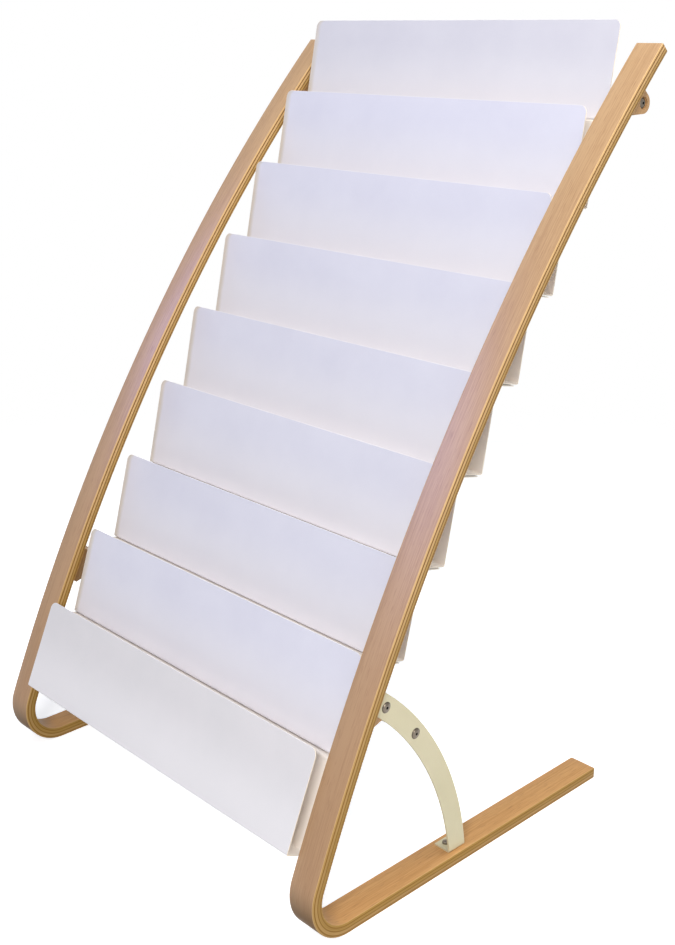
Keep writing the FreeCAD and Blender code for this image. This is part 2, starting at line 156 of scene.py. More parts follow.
BOLT_LINE = bolt_line_of_level_block()
UPPER_BOLT_RADIUS = UPRIGHT_RADIUS - STRIP_THICKNESS - UPPER_BOLT_BEHIND_UPRIGHT
LOWER_BOLT_RADIUS = UPRIGHT_RADIUS - STRIP_THICKNESS - LOWER_BOLT_BEHIND_UPRIGHT
ANGLE_BETWEEN_BOLTS = math.acos((UPPER_BOLT_RADIUS ** 2 + LOWER_BOLT_RADIUS ** 2 - BOLT_LINE.length_squared)
                                / (2 * UPPER_BOLT_RADIUS * LOWER_BOLT_RADIUS))
UPRIGHT_LENGTH = LOWER_BOLT_FROM_BEND + ANGLE_BETWEEN_BOLTS * UPRIGHT_RADIUS + UPPER_BOLT_FROM_TOP
FLOOR_LEAN = -math.pi / 2
TOP_LEAN = UPRIGHT_BASE_LEAN + UPRIGHT_LENGTH / UPRIGHT_RADIUS
BEND_TO_REAR = ((UPRIGHT_RADIUS - FLOOR_BEND_RADIUS) * math.cos(UPRIGHT_BASE_LEAN)
                - (UPRIGHT_RADIUS - STRIP_THICKNESS) * math.cos(TOP_LEAN))
BEND_CENTRE = Vector(((FLOOR_BEND_RADIUS - BEND_TO_REAR) / 2, FLOOR_BEND_RADIUS))
UPRIGHT_CENTRE = BEND_CENTRE - forward_of_lean(UPRIGHT_BASE_LEAN) * (UPRIGHT_RADIUS - FLOOR_BEND_RADIUS)
UPPER_BOLT_LEAN = TOP_LEAN - UPPER_BOLT_FROM_TOP / UPRIGHT_RADIUS
LOWER_BOLT_LEAN = UPRIGHT_BASE_LEAN + LOWER_BOLT_FROM_BEND / UPRIGHT_RADIUS
UPPER_BOLT = UPRIGHT_CENTRE + forward_of_lean(UPPER_BOLT_LEAN) * UPPER_BOLT_RADIUS
LOWER_BOLT = UPRIGHT_CENTRE + forward_of_lean(LOWER_BOLT_LEAN) * LOWER_BOLT_RADIUS
HEADER_LEAN = slope(BOLT_LINE) - slope(LOWER_BOLT - UPPER_BOLT)
HEADER_CORNER = (UPPER_BOLT - rearward(HEADER_LEAN) * HEADER_BOLT_FROM_LIP
                 - upward(HEADER_LEAN) * HEADER_BOLT_ABOVE_BOTTOM)
PIECE_CORNERS = corners_of_pieces(HEADER_CORNER, HEADER_LEAN)

# Lengths along the bent strip, from the rear end of its foot
BEND_ANGLE = UPRIGHT_BASE_LEAN - FLOOR_LEAN
BEND_END = FOOT_LENGTH + FLOOR_BEND_RADIUS * BEND_ANGLE
STRIP_LENGTH = BEND_END + UPRIGHT_LENGTH


def lean_of_piece(index):
    return HEADER_LEAN + extra_lean(index)


# Mesh helpers
SHARP_ANGLE = math.radians(35)
EASED_ANGLE = math.radians(50)
EASED_SEGMENTS = 2


def piece_from(name, mesh_builder, material, slot, *nodes):
    """Object made of a bmesh, which rides on the stand and stands for its CAD nodes."""
    mesh = bpy.data.meshes.new(name)
    mesh_builder.to_mesh(mesh)
    mesh_builder.free()
    piece = bpy.data.objects.new(name, mesh)
    bpy.context.scene.collection.objects.link(piece)
    mesh.materials.append(material)
    for polygon in mesh.polygons:
        polygon.use_smooth = True
    mesh.set_sharp_from_angle(angle=SHARP_ANGLE)
    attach(piece, BODY)
    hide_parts(*nodes)
    return piece


def round_edges(piece, width):
    bevel = piece.modifiers.new("eased_edges", "BEVEL")
    bevel.width = width
    bevel.segments = EASED_SEGMENTS
    bevel.limit_method = "ANGLE"
    bevel.angle_limit = EASED_ANGLE
    bevel.harden_normals = True


def bridge(mesh, ring, next_ring):
    count = len(ring)
    for number in range(count):
        after = (number + 1) % count
        mesh.faces.new((ring[number], ring[after], next_ring[after], next_ring[number]))


def close_tube(mesh, rings):
    """Faces between rings of points, and over the first and the last ring."""
    for ring, next_ring in zip(rings, rings[1:]):
        bridge(mesh, ring, next_ring)
    mesh.faces.new(rings[0])
    mesh.faces.new(rings[-1])


# Node helper: the places of the colour sockets on a mix node, and values of a noise
MIX_FIRST = 6
MIX_SECOND = 7
MIX_RESULT = 2
NOISE_MIDDLE = 0.5
NOISE_RANGE = (0.3, 0.7)


class Nodes:
    """Builds one procedural material."""

    def __init__(self, name):
        self.material = bpy.data.materials.new(name)
        self.material.use_nodes = True
        self.tree = self.material.node_tree
        self.shader = self.tree.nodes["Principled BSDF"]

    def add(self, kind, **settings):
        node = self.tree.nodes.new(kind)
        for key, value in settings.items():
            setattr(node, key, value)
        return node

    def put(self, socket, value):
        if isinstance(value, bpy.types.NodeSocket):
            self.tree.links.new(value, socket)
        else:
            socket.default_value = value

    def set(self, **values):
        """Set or link inputs of the shader: Base_Color for the socket Base Color."""
        for key, value in values.items():
            self.put(self.shader.inputs[key.replace("_", " ")], value)

    def attribute(self, name):
        return self.add("ShaderNodeAttribute", attribute_name=name).outputs["Vector"]

    def place(self):
        """Place in the stand's own frame, in metres."""
        return self.add("ShaderNodeTexCoord").outputs["Object"]

    def parts(self, vector):
        node = self.add("ShaderNodeSeparateXYZ")
        self.put(node.inputs[0], vector)
        return node.outputs

    def math(self, operation, first, second=0.0):
        node = self.add("ShaderNodeMath", operation=operation)
        self.put(node.inputs[0], first)
        self.put(node.inputs[1], second)
        return node.outputs[0]

    def times(self, first, second):
        return self.math("MULTIPLY", first, second)

    def rest(self, share):
        """What a share leaves of 1."""
        return self.math("SUBTRACT", 1.0, share)

    def step(self, value, low, high):
        """0 below low and 1 above high, smooth between; falls instead of rising where low is above high."""
        node = self.add("ShaderNodeMapRange", interpolation_type="SMOOTHSTEP")
        self.put(node.inputs["Value"], value)
        if low < high:
            ends = (low, high, 0.0, 1.0)
        else:
            ends = (high, low, 1.0, 0.0)
        for key, end in zip(("From Min", "From Max", "To Min", "To Max"), ends):
            node.inputs[key].default_value = end
        return node.outputs["Result"]

    def noise(self, vector, scale, detail=2.0, roughness=0.5):
        node = self.add("ShaderNodeTexNoise")
        self.put(node.inputs["Vector"], vector)
        node.inputs["Scale"].default_value = scale
        node.inputs["Detail"].default_value = detail
        node.inputs["Roughness"].default_value = roughness
        return node.outputs["Fac"]

    def grain(self, vector, scales, detail=2.0, roughness=0.5):
        """Noise with its own scale along each axis."""
        node = self.add("ShaderNodeVectorMath", operation="MULTIPLY")
        self.put(node.inputs[0], vector)
        node.inputs[1].default_value = scales
        return self.noise(node.outputs[0], 1.0, detail, roughness)

    def ramp(self, value, stops):
        node = self.add("ShaderNodeValToRGB")
        elements = node.color_ramp.elements
        while len(elements) < len(stops):
            elements.new(1.0)
        for element, (position, colour) in zip(elements, stops):
            element.position = position
            element.color = colour
        self.put(node.inputs["Fac"], value)
        return node.outputs["Color"]

    def two_tones(self, noise, ends, first, second):
        """First colour up to one end of a noise's range, second from the other end on."""
        return self.ramp(noise, list(zip(ends, (first, second))))

    def mix(self, share, first, second):
        node = self.add("ShaderNodeMix", data_type="RGBA")
        self.put(node.inputs["Factor"], share)
        self.put(node.inputs[MIX_FIRST], first)
        self.put(node.inputs[MIX_SECOND], second)
        return node.outputs[MIX_RESULT]

    def bump(self, height, strength, distance):
        node = self.add("ShaderNodeBump")
        node.inputs["Strength"].default_value = strength
        node.inputs["Distance"].default_value = distance
        self.put(node.inputs["Height"], height)
        self.put(self.shader.inputs["Normal"], node.outputs["Normal"])


# Beech
FACE_LIGHT = paint(194, 158, 118)
FACE_DARK = paint(178, 141, 102)
FLECK = paint(146, 104, 71)
INNER_LIGHT = paint(208, 160, 105)
INNER_DARK = paint(193, 144, 90)
PLY_LIGHT = paint(208, 171, 119)
PLY_GOLD = paint(186, 150, 92)
PLY_DARK = paint(120, 82, 42)
# Where the plies end, as shares of the strip's thickness from its outer face
PLY_ENDS = [(0.14, PLY_LIGHT), (0.25, PLY_DARK), (0.47, PLY_LIGHT), (0.56, PLY_DARK), (0.76, PLY_GOLD),
            (0.85, PLY_DARK), (1.00, PLY_GOLD)]
PLY_BLUR = 0.01
# Shares of the thickness between which the outer face's tones give way to the inner face's
INNER_START = 0.4
INNER_FULL = 0.6
# Painted shade: the outer veneer is darker near the floor, up to a length above the bend
NEAR_FLOOR_SHADE = paint(146, 104, 81)
NEAR_FLOOR_SHADE_HEIGHT = 0.8
NEAR_FLOOR_SHADE_SHARE = 0.3
# Painted shade: the plies are darker and differ less near the floor
PLY_FLOOR_SHADE = paint(153, 115, 42)
PLY_SHADE_HEIGHT = 0.6
PLY_SHADE_SHARE = 0.58
# Painted shade: the floor bend's outer face is darkened where it comes down to the floor, and its lacquer is
# left matt there: lengths past the straight foot
BEND_SHADE = paint(106, 78, 42)
BEND_SHADE_START = 0.140
BEND_SHADE_FULL = 0.080
BEND_SHADE_SHARE = 0.9
# Painted highlight: the rounded edges are lighter than the faces
EDGE_HIGHLIGHT = paint(224, 187, 136)
EDGE_HIGHLIGHT_SHARE = 0.55
# The plies begin to show where a rounding starts, and show fully at this share of the round from its end
CUT_FULL = 0.25
# Lacquer, and the share of it that is missing on the inner face and the narrow sides
BEECH_ROUGHNESS = 0.42
BEECH_SPECULAR = 0.3
LACQUER_WEIGHT = 0.1
LACQUER_ROUGHNESS = 0.32
THIN_LACQUER = 0.7
# Lugs, with painted shade where they stand out towards the trays
LUG_LIGHT = paint(184, 145, 100)
LUG_DARK = paint(166, 127, 82)
LUG_INSIDE_SHADE = paint(112, 84, 50)
LUG_INSIDE_SHADE_SHARE = 0.85
LUG_INSIDE_SHADE_BLUR = 0.001
LUG_GRAIN_TURN = (math.radians(30), 0.0, math.radians(90))
LUG_ROUGHNESS = 0.5
# Scales of the grain along, across and through the wood, and the weights and ranges of its kinds
BANDS = (1.5, 28.0, 28.0)
BAND_WEIGHT = 0.34
STREAKS = (6.0, 500.0, 500.0)
STREAK_WEIGHT = 0.46
FIBRES = (30.0, 1300.0, 1300.0)
FIBRE_WEIGHT = 0.20
TONE_RANGE = (0.40, 0.59)
FLECKS = (42.0, 640.0, 640.0)
FLECK_RANGE = (0.58, 0.74)
FLECK_SHARE = 0.42
GRAIN_BUMP = 0.12
GRAIN_BUMP_HEIGHT = 0.0003
# Plies wander a little in depth, and dark fibres cross them
PLY_WANDER = (5.0, 20.0, 20.0)
PLY_WANDER_DEPTH = 0.0012
SIDE_FIBRES = (18.0, 1100.0, 1400.0)
SIDE_FIBRE_RANGE = (0.5, 0.72)
SIDE_FIBRE_SHARE = 0.3


def beech_grain(nodes, along_grain, light, dark):
    """Face colour and height from a vector in metres whose X runs along the grain."""
    bands = nodes.grain(along_grain, BANDS, detail=3.0)
    streaks = nodes.grain(along_grain, STREAKS, detail=3.0, roughness=0.6)
    fibres = nodes.grain(along_grain, FIBRES)
    flecks = nodes.grain(along_grain, FLECKS, detail=1.0)
    coarse = nodes.math("ADD", nodes.times(bands, BAND_WEIGHT), nodes.times(streaks, STREAK_WEIGHT))
    tone = nodes.math("ADD", coarse, nodes.times(fibres, FIBRE_WEIGHT))
    face = nodes.mix(nodes.step(tone, *TONE_RANGE), dark, light)
    fleck_share = nodes.times(nodes.step(flecks, *FLECK_RANGE), FLECK_SHARE)
    return nodes.mix(fleck_share, face, FLECK), nodes.math("SUBTRACT", fibres, fleck_share)


def ply_stops():
    """Colour stops of the plies through the strip's thickness, each with a short blur at its ends."""
    stops = []
    ply_start = 0.0
    for ply_end, colour in PLY_ENDS:
        stops += [(ply_start + PLY_BLUR, colour), (ply_end - PLY_BLUR, colour)]
        ply_start = ply_end
    return stops


def strip_face(nodes, strip, along, inner, bend_shaded):
    """Colour and height of the strip's wide faces."""
    # Painted shade on the outer face near the floor
    near_floor_shade = nodes.times(nodes.step(along, BEND_END + NEAR_FLOOR_SHADE_HEIGHT, BEND_END), NEAR_FLOOR_SHADE_SHARE)
    light = nodes.mix(inner, nodes.mix(near_floor_shade, FACE_LIGHT, NEAR_FLOOR_SHADE), INNER_LIGHT)
    dark = nodes.mix(inner, nodes.mix(near_floor_shade, FACE_DARK, NEAR_FLOOR_SHADE), INNER_DARK)
    face, height = beech_grain(nodes, strip, light, dark)
    # Painted shade at the foot of the bend
    return nodes.mix(bend_shaded, face, BEND_SHADE), height


def strip_side(nodes, strip, along, depth):
    """Colour of the strip's narrow sides and ends, where the plies show."""
    wander = nodes.math("SUBTRACT", nodes.grain(strip, PLY_WANDER), NOISE_MIDDLE)
    waved = nodes.math("ADD", depth, nodes.times(wander, PLY_WANDER_DEPTH))
    plies = nodes.ramp(nodes.math("DIVIDE", waved, STRIP_THICKNESS), ply_stops())
    # Painted shade on the plies near the floor
    ply_shade = nodes.times(nodes.step(along, BEND_END + PLY_SHADE_HEIGHT, BEND_END), PLY_SHADE_SHARE)
    fibres = nodes.step(nodes.grain(strip, SIDE_FIBRES), *SIDE_FIBRE_RANGE)
    return nodes.mix(nodes.times(fibres, SIDE_FIBRE_SHARE), nodes.mix(ply_shade, plies, PLY_FLOOR_SHADE), PLY_DARK)


def strip_beech():
    """Laminated beech of the bent strips: face veneers, and plies on the narrow sides and the ends."""
    nodes = Nodes("beech_laminated")
    strip = nodes.attribute("strip")
    along, across, depth = nodes.parts(strip)
    inner = nodes.step(depth, STRIP_THICKNESS * INNER_START, STRIP_THICKNESS * INNER_FULL)
    # Painted shade on the bend's outer face near the floor
    low = nodes.step(along, FOOT_LENGTH + BEND_SHADE_START, FOOT_LENGTH + BEND_SHADE_FULL)
    bend_shaded = nodes.times(nodes.times(low, nodes.rest(inner)), BEND_SHADE_SHARE)
    face, height = strip_face(nodes, strip, along, inner, bend_shaded)
    side = strip_side(nodes, strip, along, depth)
    half = STRIP_WIDTH / 2
    from_middle = nodes.math("ABSOLUTE", across)
    on_side = nodes.step(from_middle, half - STRIP_EDGE_ROUND, half - STRIP_EDGE_ROUND * CUT_FULL)
    on_rounding = nodes.times(on_side, nodes.rest(on_side))
    # Painted highlight on the rounded edges: the rounding's share is a quarter at most, half way round the
    # edge
    edge_highlight = nodes.times(on_rounding, 4 * EDGE_HIGHLIGHT_SHARE)
    foot_cut = nodes.step(along, FOOT_END_ROUND, FOOT_END_ROUND * CUT_FULL)
    top_cut = nodes.step(along, STRIP_LENGTH - TOP_END_ROUND, STRIP_LENGTH - TOP_END_ROUND * CUT_FULL)
    cut = nodes.math("MAXIMUM", on_side, nodes.math("MAXIMUM", foot_cut, top_cut))
    colour = nodes.mix(edge_highlight, nodes.mix(cut, face, side), EDGE_HIGHLIGHT)
    matt = nodes.times(bend_shaded, nodes.rest(cut))
    thin = nodes.times(nodes.math("MAXIMUM", inner, cut), THIN_LACQUER)
    lacquer = nodes.rest(nodes.math("MAXIMUM", matt, thin))
    nodes.set(Base_Color=colour, Roughness=BEECH_ROUGHNESS,
              Specular_IOR_Level=nodes.times(lacquer, BEECH_SPECULAR),
              Coat_Weight=nodes.times(lacquer, LACQUER_WEIGHT), Coat_Roughness=LACQUER_ROUGHNESS)
    nodes.bump(height, GRAIN_BUMP, GRAIN_BUMP_HEIGHT)
    return nodes.material


def lug_beech():
    """Solid beech of the lugs: the same grain, along the upright."""
    nodes = Nodes("beech_solid")
    place = nodes.place()
    turn = nodes.add("ShaderNodeVectorRotate", rotation_type="EULER_XYZ")
    nodes.put(turn.inputs["Vector"], place)
    turn.inputs["Rotation"].default_value = LUG_GRAIN_TURN
    across, behind, along = nodes.parts(turn.outputs[0])
    grain = nodes.add("ShaderNodeCombineXYZ")
    for number, value in enumerate((along, across, behind)):
        nodes.put(grain.inputs[number], value)
    face, height = beech_grain(nodes, grain.outputs[0], LUG_LIGHT, LUG_DARK)
    # Painted shade on the lugs' sides towards the trays
    from_middle = nodes.math("ABSOLUTE", nodes.parts(place)[0])
    inside = nodes.step(from_middle, FRAME_INSIDE_X, FRAME_INSIDE_X - LUG_INSIDE_SHADE_BLUR)
    colour = nodes.mix(nodes.times(inside, LUG_INSIDE_SHADE_SHARE), face, LUG_INSIDE_SHADE)
    nodes.set(Base_Color=colour, Roughness=LUG_ROUGHNESS)
    nodes.bump(height, GRAIN_BUMP, GRAIN_BUMP_HEIGHT)
    return nodes.material


# Powder coats
LIP_WHITE = paint(232, 231, 243)
LIP_SHADE = paint(227, 226, 239)
# The header's white is a darker, greyer copy of the lips' white: painted shade
HEADER_WHITE = paint(225, 223, 230)
HEADER_SHADE = paint(220, 218, 226)
LOW_LIP_WHITE = paint(231, 227, 229)
LOW_LIP_SHADE = paint(226, 223, 225)
INSIDE_BOUNCE_LIGHT = paint(246, 238, 229)
# Painted highlights on the lip's top edge and on the sheet's cut ends
LIP_TOP_HIGHLIGHT = paint(246, 244, 248)
SHEET_EDGE_HIGHLIGHT = paint(244, 235, 218)
CREAM = paint(212, 203, 170)
CREAM_SHADE = paint(205, 196, 161)
# Painted light: a lip is whiter low down, above the next tray, standing in for light bounced off that tray:
# lengths from the lip's top
LIP_BOUNCE_WHITE = paint(251, 248, 250)
LIP_BOUNCE_START = 0.03
LIP_BOUNCE_FULL = 0.13
LIP_BOUNCE_SHARE = 0.5
# Painted warm reflection at the left end of a lip, with a ragged border: widths from that end
LIP_END_REFLECTION = paint(222, 213, 200)
END_REFLECTION_WIDTH = 0.019
END_REFLECTION_FULL = 0.006
END_REFLECTION_WANDER = 0.006
RAGGED = 30.0
END_REFLECTION_SHARE = 0.85
# The painted warm bounce light inside the sheet and the painted highlights on its edges blend in over these
# ranges
INSIDE_RANGE = (0.3, 0.7)
EDGE_RANGE = (SHEET_EDGE_ROUND * 1.5, SHEET_EDGE_ROUND / 4)
# Clouds, specks and skin of the coat: scales, weights and bump
CLOUDS = 9.0
CLOUD_WEIGHT = 0.8
SPECKS = 420.0
SPECK_WEIGHT = 0.2
COAT_RANGE = (0.35, 0.65)
SKIN = 700.0
SKIN_BUMP = 0.10
SKIN_BUMP_HEIGHT = 0.0002
# Gloss of the coats
SHEET_ROUGHNESS = 0.48
SHEET_SPECULAR = 0.12
CREAM_ROUGHNESS = 0.45


def powder_coat(nodes, place, light, dark):
    """Colour with faint clouds, and the skin of the coat as bump."""
    clouds = nodes.noise(place, CLOUDS, detail=3.0, roughness=0.6)
    specks = nodes.noise(place, SPECKS, roughness=0.6)
    tone = nodes.math("ADD", nodes.times(clouds, CLOUD_WEIGHT), nodes.times(specks, SPECK_WEIGHT))
    nodes.bump(nodes.noise(place, SKIN, roughness=0.55), SKIN_BUMP, SKIN_BUMP_HEIGHT)
    return nodes.two_tones(tone, COAT_RANGE, dark, light)


def sheet_coat(name, light, dark, end_reflection_share):
    """White powder coat of a tray, with painted light: whiter low on the lip, a warm reflection at its left
    end, warm bounce light inside, and highlights on its edges.
    """
    nodes = Nodes(name)
    place = nodes.place()
    across, along, inside = nodes.parts(nodes.attribute("sheet"))
    colour = powder_coat(nodes, place, light, dark)
    # Painted bounce light low on the lip
    lip_bounce = nodes.times(nodes.step(along, LIP_BOUNCE_START, LIP_BOUNCE_FULL), LIP_BOUNCE_SHARE)
    colour = nodes.mix(lip_bounce, colour, LIP_BOUNCE_WHITE)
    # Painted warm reflection at the lip's left end
    from_left = nodes.math("ADD", across, TRAY_WIDTH / 2)
    wander = nodes.times(nodes.noise(place, RAGGED), END_REFLECTION_WANDER)
    end_reflection = nodes.step(nodes.math("ADD", from_left, wander), END_REFLECTION_WIDTH, END_REFLECTION_FULL)
    colour = nodes.mix(nodes.times(end_reflection, end_reflection_share), colour, LIP_END_REFLECTION)
    # Painted warm bounce light inside the tray
    colour = nodes.mix(nodes.step(inside, *INSIDE_RANGE), colour, INSIDE_BOUNCE_LIGHT)
    from_end = nodes.math("SUBTRACT", TRAY_WIDTH / 2, nodes.math("ABSOLUTE", across))
    # Painted highlights on the sheet's cut ends and the lip's top edge
    colour = nodes.mix(nodes.step(from_end, *EDGE_RANGE), colour, SHEET_EDGE_HIGHLIGHT)
    colour = nodes.mix(nodes.step(along, *EDGE_RANGE), colour, LIP_TOP_HIGHLIGHT)
    nodes.set(Base_Color=colour, Roughness=SHEET_ROUGHNESS, Specular_IOR_Level=SHEET_SPECULAR)
    return nodes.material


def brace_cream():
    nodes = Nodes("powder_coat_cream")
    colour = powder_coat(nodes, nodes.place(), CREAM, CREAM_SHADE)
    nodes.set(Base_Color=colour, Roughness=CREAM_ROUGHNESS)
    return nodes.material


# Nickel of the nuts, rivets and screws
PLATE_DULL = paint(112, 102, 90)
PLATE_BRIGHT = paint(160, 150, 136)
PLATE_WEAR = 260.0
PLATE_ROUGHNESS = 0.24
PLATE_WEAR_ROUGHNESS = 0.2
PLATE_GRAIN = 1800.0
PLATE_BUMP = 0.08
# Tones of a bolt head, by share of its radius: painted shade in the socket, and grime and painted shade at
# the rim
SOCKET_SHADE = paint(34, 30, 27)
HEAD_BRIGHT = paint(118, 110, 100)
HEAD_DULL = paint(112, 103, 92)
HEAD_RIM_GRIME_AND_SHADE = paint(58, 50, 42)
HEAD_TONES = [(0.22, SOCKET_SHADE), (0.30, HEAD_BRIGHT), (0.80, HEAD_DULL), (1.0, HEAD_RIM_GRIME_AND_SHADE)]
HEAD_WEAR = 420.0
HEAD_WANDER = 0.12
HEAD_ROUGHNESS = 0.24
HEAD_BUMP = 0.06
# Nylon of the spacer rings
NYLON_DARK = paint(44, 38, 32)
NYLON_LIGHT = paint(66, 58, 50)
NYLON_GRAIN = 900.0
NYLON_ROUGHNESS = 0.6
NYLON_BUMP = 0.1
# Height of the bumps on nickel and nylon
FINE_BUMP_HEIGHT = 0.0001


def nickel():
    nodes = Nodes("nickel_plate")
    place = nodes.place()
    wear = nodes.noise(place, PLATE_WEAR, detail=4.0, roughness=0.65)
    colour = nodes.two_tones(wear, NOISE_RANGE, PLATE_DULL, PLATE_BRIGHT)
    roughness = nodes.math("ADD", nodes.times(wear, PLATE_WEAR_ROUGHNESS), PLATE_ROUGHNESS)
    nodes.set(Base_Color=colour, Metallic=1.0, Roughness=roughness)
    nodes.bump(nodes.noise(place, PLATE_GRAIN), PLATE_BUMP, FINE_BUMP_HEIGHT)
    return nodes.material


def bolt_nickel():
    """Nickel of the bolt heads: worn bright on the dome, with painted shade in the socket and grime and
    painted shade at the rim.
    """
    nodes = Nodes("nickel_bolt")
    reach = nodes.parts(nodes.attribute("head"))[0]
    wear = nodes.noise(nodes.place(), HEAD_WEAR, detail=3.0, roughness=0.6)
    wander = nodes.times(nodes.math("SUBTRACT", wear, NOISE_MIDDLE), HEAD_WANDER)
    colour = nodes.ramp(nodes.math("ADD", reach, wander), HEAD_TONES)
    nodes.set(Base_Color=colour, Metallic=1.0, Roughness=HEAD_ROUGHNESS)
    nodes.bump(wear, HEAD_BUMP, FINE_BUMP_HEIGHT)
    return nodes.material


def dark_nylon():
    nodes = Nodes("nylon_dark")
    grain = nodes.noise(nodes.place(), NYLON_GRAIN)
    colour = nodes.two_tones(grain, NOISE_RANGE, NYLON_DARK, NYLON_LIGHT)
    nodes.set(Base_Color=colour, Roughness=NYLON_ROUGHNESS)
    nodes.bump(grain, NYLON_BUMP, FINE_BUMP_HEIGHT)
    return nodes.material


# Bent strips
FOOT_SPANS = 20
BEND_SPANS = 30
UPRIGHT_SPANS = 80
ROUND_SPANS = 4
END_SPANS = 4
# Least rounding of the section's corners where the ends are drawn in, as a share of the full one
LEAST_ROUND_SHARE = 1 / 8


def strip_place(along):
    """Point on the strip's outer face, and the direction out of it, at a length from the foot's end."""
    if along <= FOOT_LENGTH:
        return Vector((BEND_CENTRE.x + FOOT_LENGTH - along, 0.0)), forward_of_lean(FLOOR_LEAN)
    if along <= BEND_END:
        out = forward_of_lean(FLOOR_LEAN + (along - FOOT_LENGTH) / FLOOR_BEND_RADIUS)
        return BEND_CENTRE + out * FLOOR_BEND_RADIUS, out
    out = forward_of_lean(UPRIGHT_BASE_LEAN + (along - BEND_END) / UPRIGHT_RADIUS)
    return UPRIGHT_CENTRE + out * UPRIGHT_RADIUS, out


def strip_section(inset):
    """Rounded section of the strip as (across, depth), drawn in from its faces by the inset."""
    radius = max(STRIP_EDGE_ROUND - inset, STRIP_EDGE_ROUND * LEAST_ROUND_SHARE)
    centre_across = STRIP_WIDTH / 2 - inset - radius
    points = []
    for side, deep, start in ((1, 0, -90), (1, 1, 0), (-1, 1, 90), (-1, 0, 180)):
        centre_depth = STRIP_THICKNESS - inset - radius if deep else inset + radius
        for number in range(ROUND_SPANS + 1):
            angle = math.radians(start + 90 * number / ROUND_SPANS)
            points.append((side * centre_across + radius * math.cos(angle),
                           centre_depth + radius * math.sin(angle)))
    return points


def end_round(radius):
    """Rings of a rounded end: how far each lies from the end, and its inset."""
    angles = [math.radians(90 * number / END_SPANS) for number in range(END_SPANS + 1)]
    return [(radius * (1 - math.cos(angle)), radius * (1 - math.sin(angle))) for angle in angles]


def strip_lengths():
    """Places along the strip of its rings of points, each with its inset."""
    inner = [FOOT_LENGTH * number / FOOT_SPANS for number in range(1, FOOT_SPANS)]
    inner += [FOOT_LENGTH + (BEND_END - FOOT_LENGTH) * number / BEND_SPANS for number in range(BEND_SPANS)]
    inner += [BEND_END + UPRIGHT_LENGTH * number / UPRIGHT_SPANS for number in range(UPRIGHT_SPANS)]
    rings = end_round(FOOT_END_ROUND) + [(along, 0.0) for along in inner]
    return rings + [(STRIP_LENGTH - along, inset) for along, inset in reversed(end_round(TOP_END_ROUND))]


def bent_strip(name, side, material, node):
    """One side frame: its outer face runs along the floor, round the bend and up the front of the upright."""
    mesh = bmesh.new()
    layer = mesh.verts.layers.float_vector.new("strip")
    centre_x = side * (FRAME_INSIDE_X + STRIP_WIDTH / 2)
    rings = []
    for along, inset in strip_lengths():
        start, out = strip_place(along)
        ring = []
        for across, depth in strip_section(inset):
            place = start - out * depth
            vertex = mesh.verts.new((centre_x + side * across, place.x, place.y))
            vertex[layer] = (along, across, depth)
            ring.append(vertex)
        rings.append(ring)
    close_tube(mesh, rings)
    bmesh.ops.recalc_face_normals(mesh, faces=mesh.faces)
    piece_from(name, mesh, material, "beech", node)


# Sheet of the header and the trays
CORNER_SPANS = 8
SHEET_BEND_SPANS = 6
TAB_SPANS = 16


def sheet_path(index):
    """Corners of the path through the middle of the sheet, as (from lip, above bottom)."""
    half = SHEET_THICKNESS / 2
    path = [Vector((half, LIP_HEIGHT)), Vector((half, half))]
    if index == 0:
        return path + [Vector((TRAY_DEPTH, half))]
    turn = lean_of_piece(index) - lean_of_piece(index - 1)
    along_flange = Vector((math.cos(turn), math.sin(turn)))
    above_flange = Vector((-math.sin(turn), math.cos(turn)))
    flange_start = Vector((TRAY_DEPTH, BACK_HEIGHT)) + above_flange * half
    flange_length = BACK_IN_FRONT_OF_UPPER_LIP + TRAY_DEPTH - FLANGE_SHORT_OF_UPPER_BACK
    to_back = -half / along_flange.x
    return path + [Vector((TRAY_DEPTH - half, half)), flange_start + along_flange * to_back,
                   flange_start + along_flange * flange_length]


def sheet_rows(path):
    """Rows along the sheet: middle point and direction ahead, with the bends rounded."""
    radius = SHEET_BEND_RADIUS + SHEET_THICKNESS / 2
    start_ahead = (path[1] - path[0]).normalized()
    rows = []
    for number in range(CORNER_SPANS + 1):
        down = LIP_CORNER_RADIUS * (1 - math.cos(math.pi / 2 * number / CORNER_SPANS))
        rows.append((path[0] + start_ahead * down, start_ahead))
    for before, corner, after in zip(path, path[1:], path[2:]):
        ahead = (corner - before).normalized()
        onward = (after - corner).normalized()
        turn = ahead.angle(onward)
        sign = 1 if ahead.x * onward.y - ahead.y * onward.x > 0 else -1
        start = corner - ahead * radius * math.tan(turn / 2)
        centre = start + Vector((-ahead.y, ahead.x)) * radius * sign
        for number in range(SHEET_BEND_SPANS + 1):
            spin = Matrix.Rotation(sign * turn * number / SHEET_BEND_SPANS, 2)
            rows.append((centre + spin @ (start - centre), spin @ ahead))
    rows.append((path[-1], (path[-1] - path[-2]).normalized()))
    return rows


def half_width(from_lip_top):
    """Half the sheet's width, less at the rounded top corners of the lip."""
    short = max(0.0, LIP_CORNER_RADIUS - from_lip_top)
    return TRAY_WIDTH / 2 - LIP_CORNER_RADIUS + math.sqrt(LIP_CORNER_RADIUS ** 2 - short ** 2)


def in_place(index, across, from_lip, above_bottom):
    lean = lean_of_piece(index)
    place = PIECE_CORNERS[index] + rearward(lean) * from_lip + upward(lean) * above_bottom
    return across, place.x, place.y


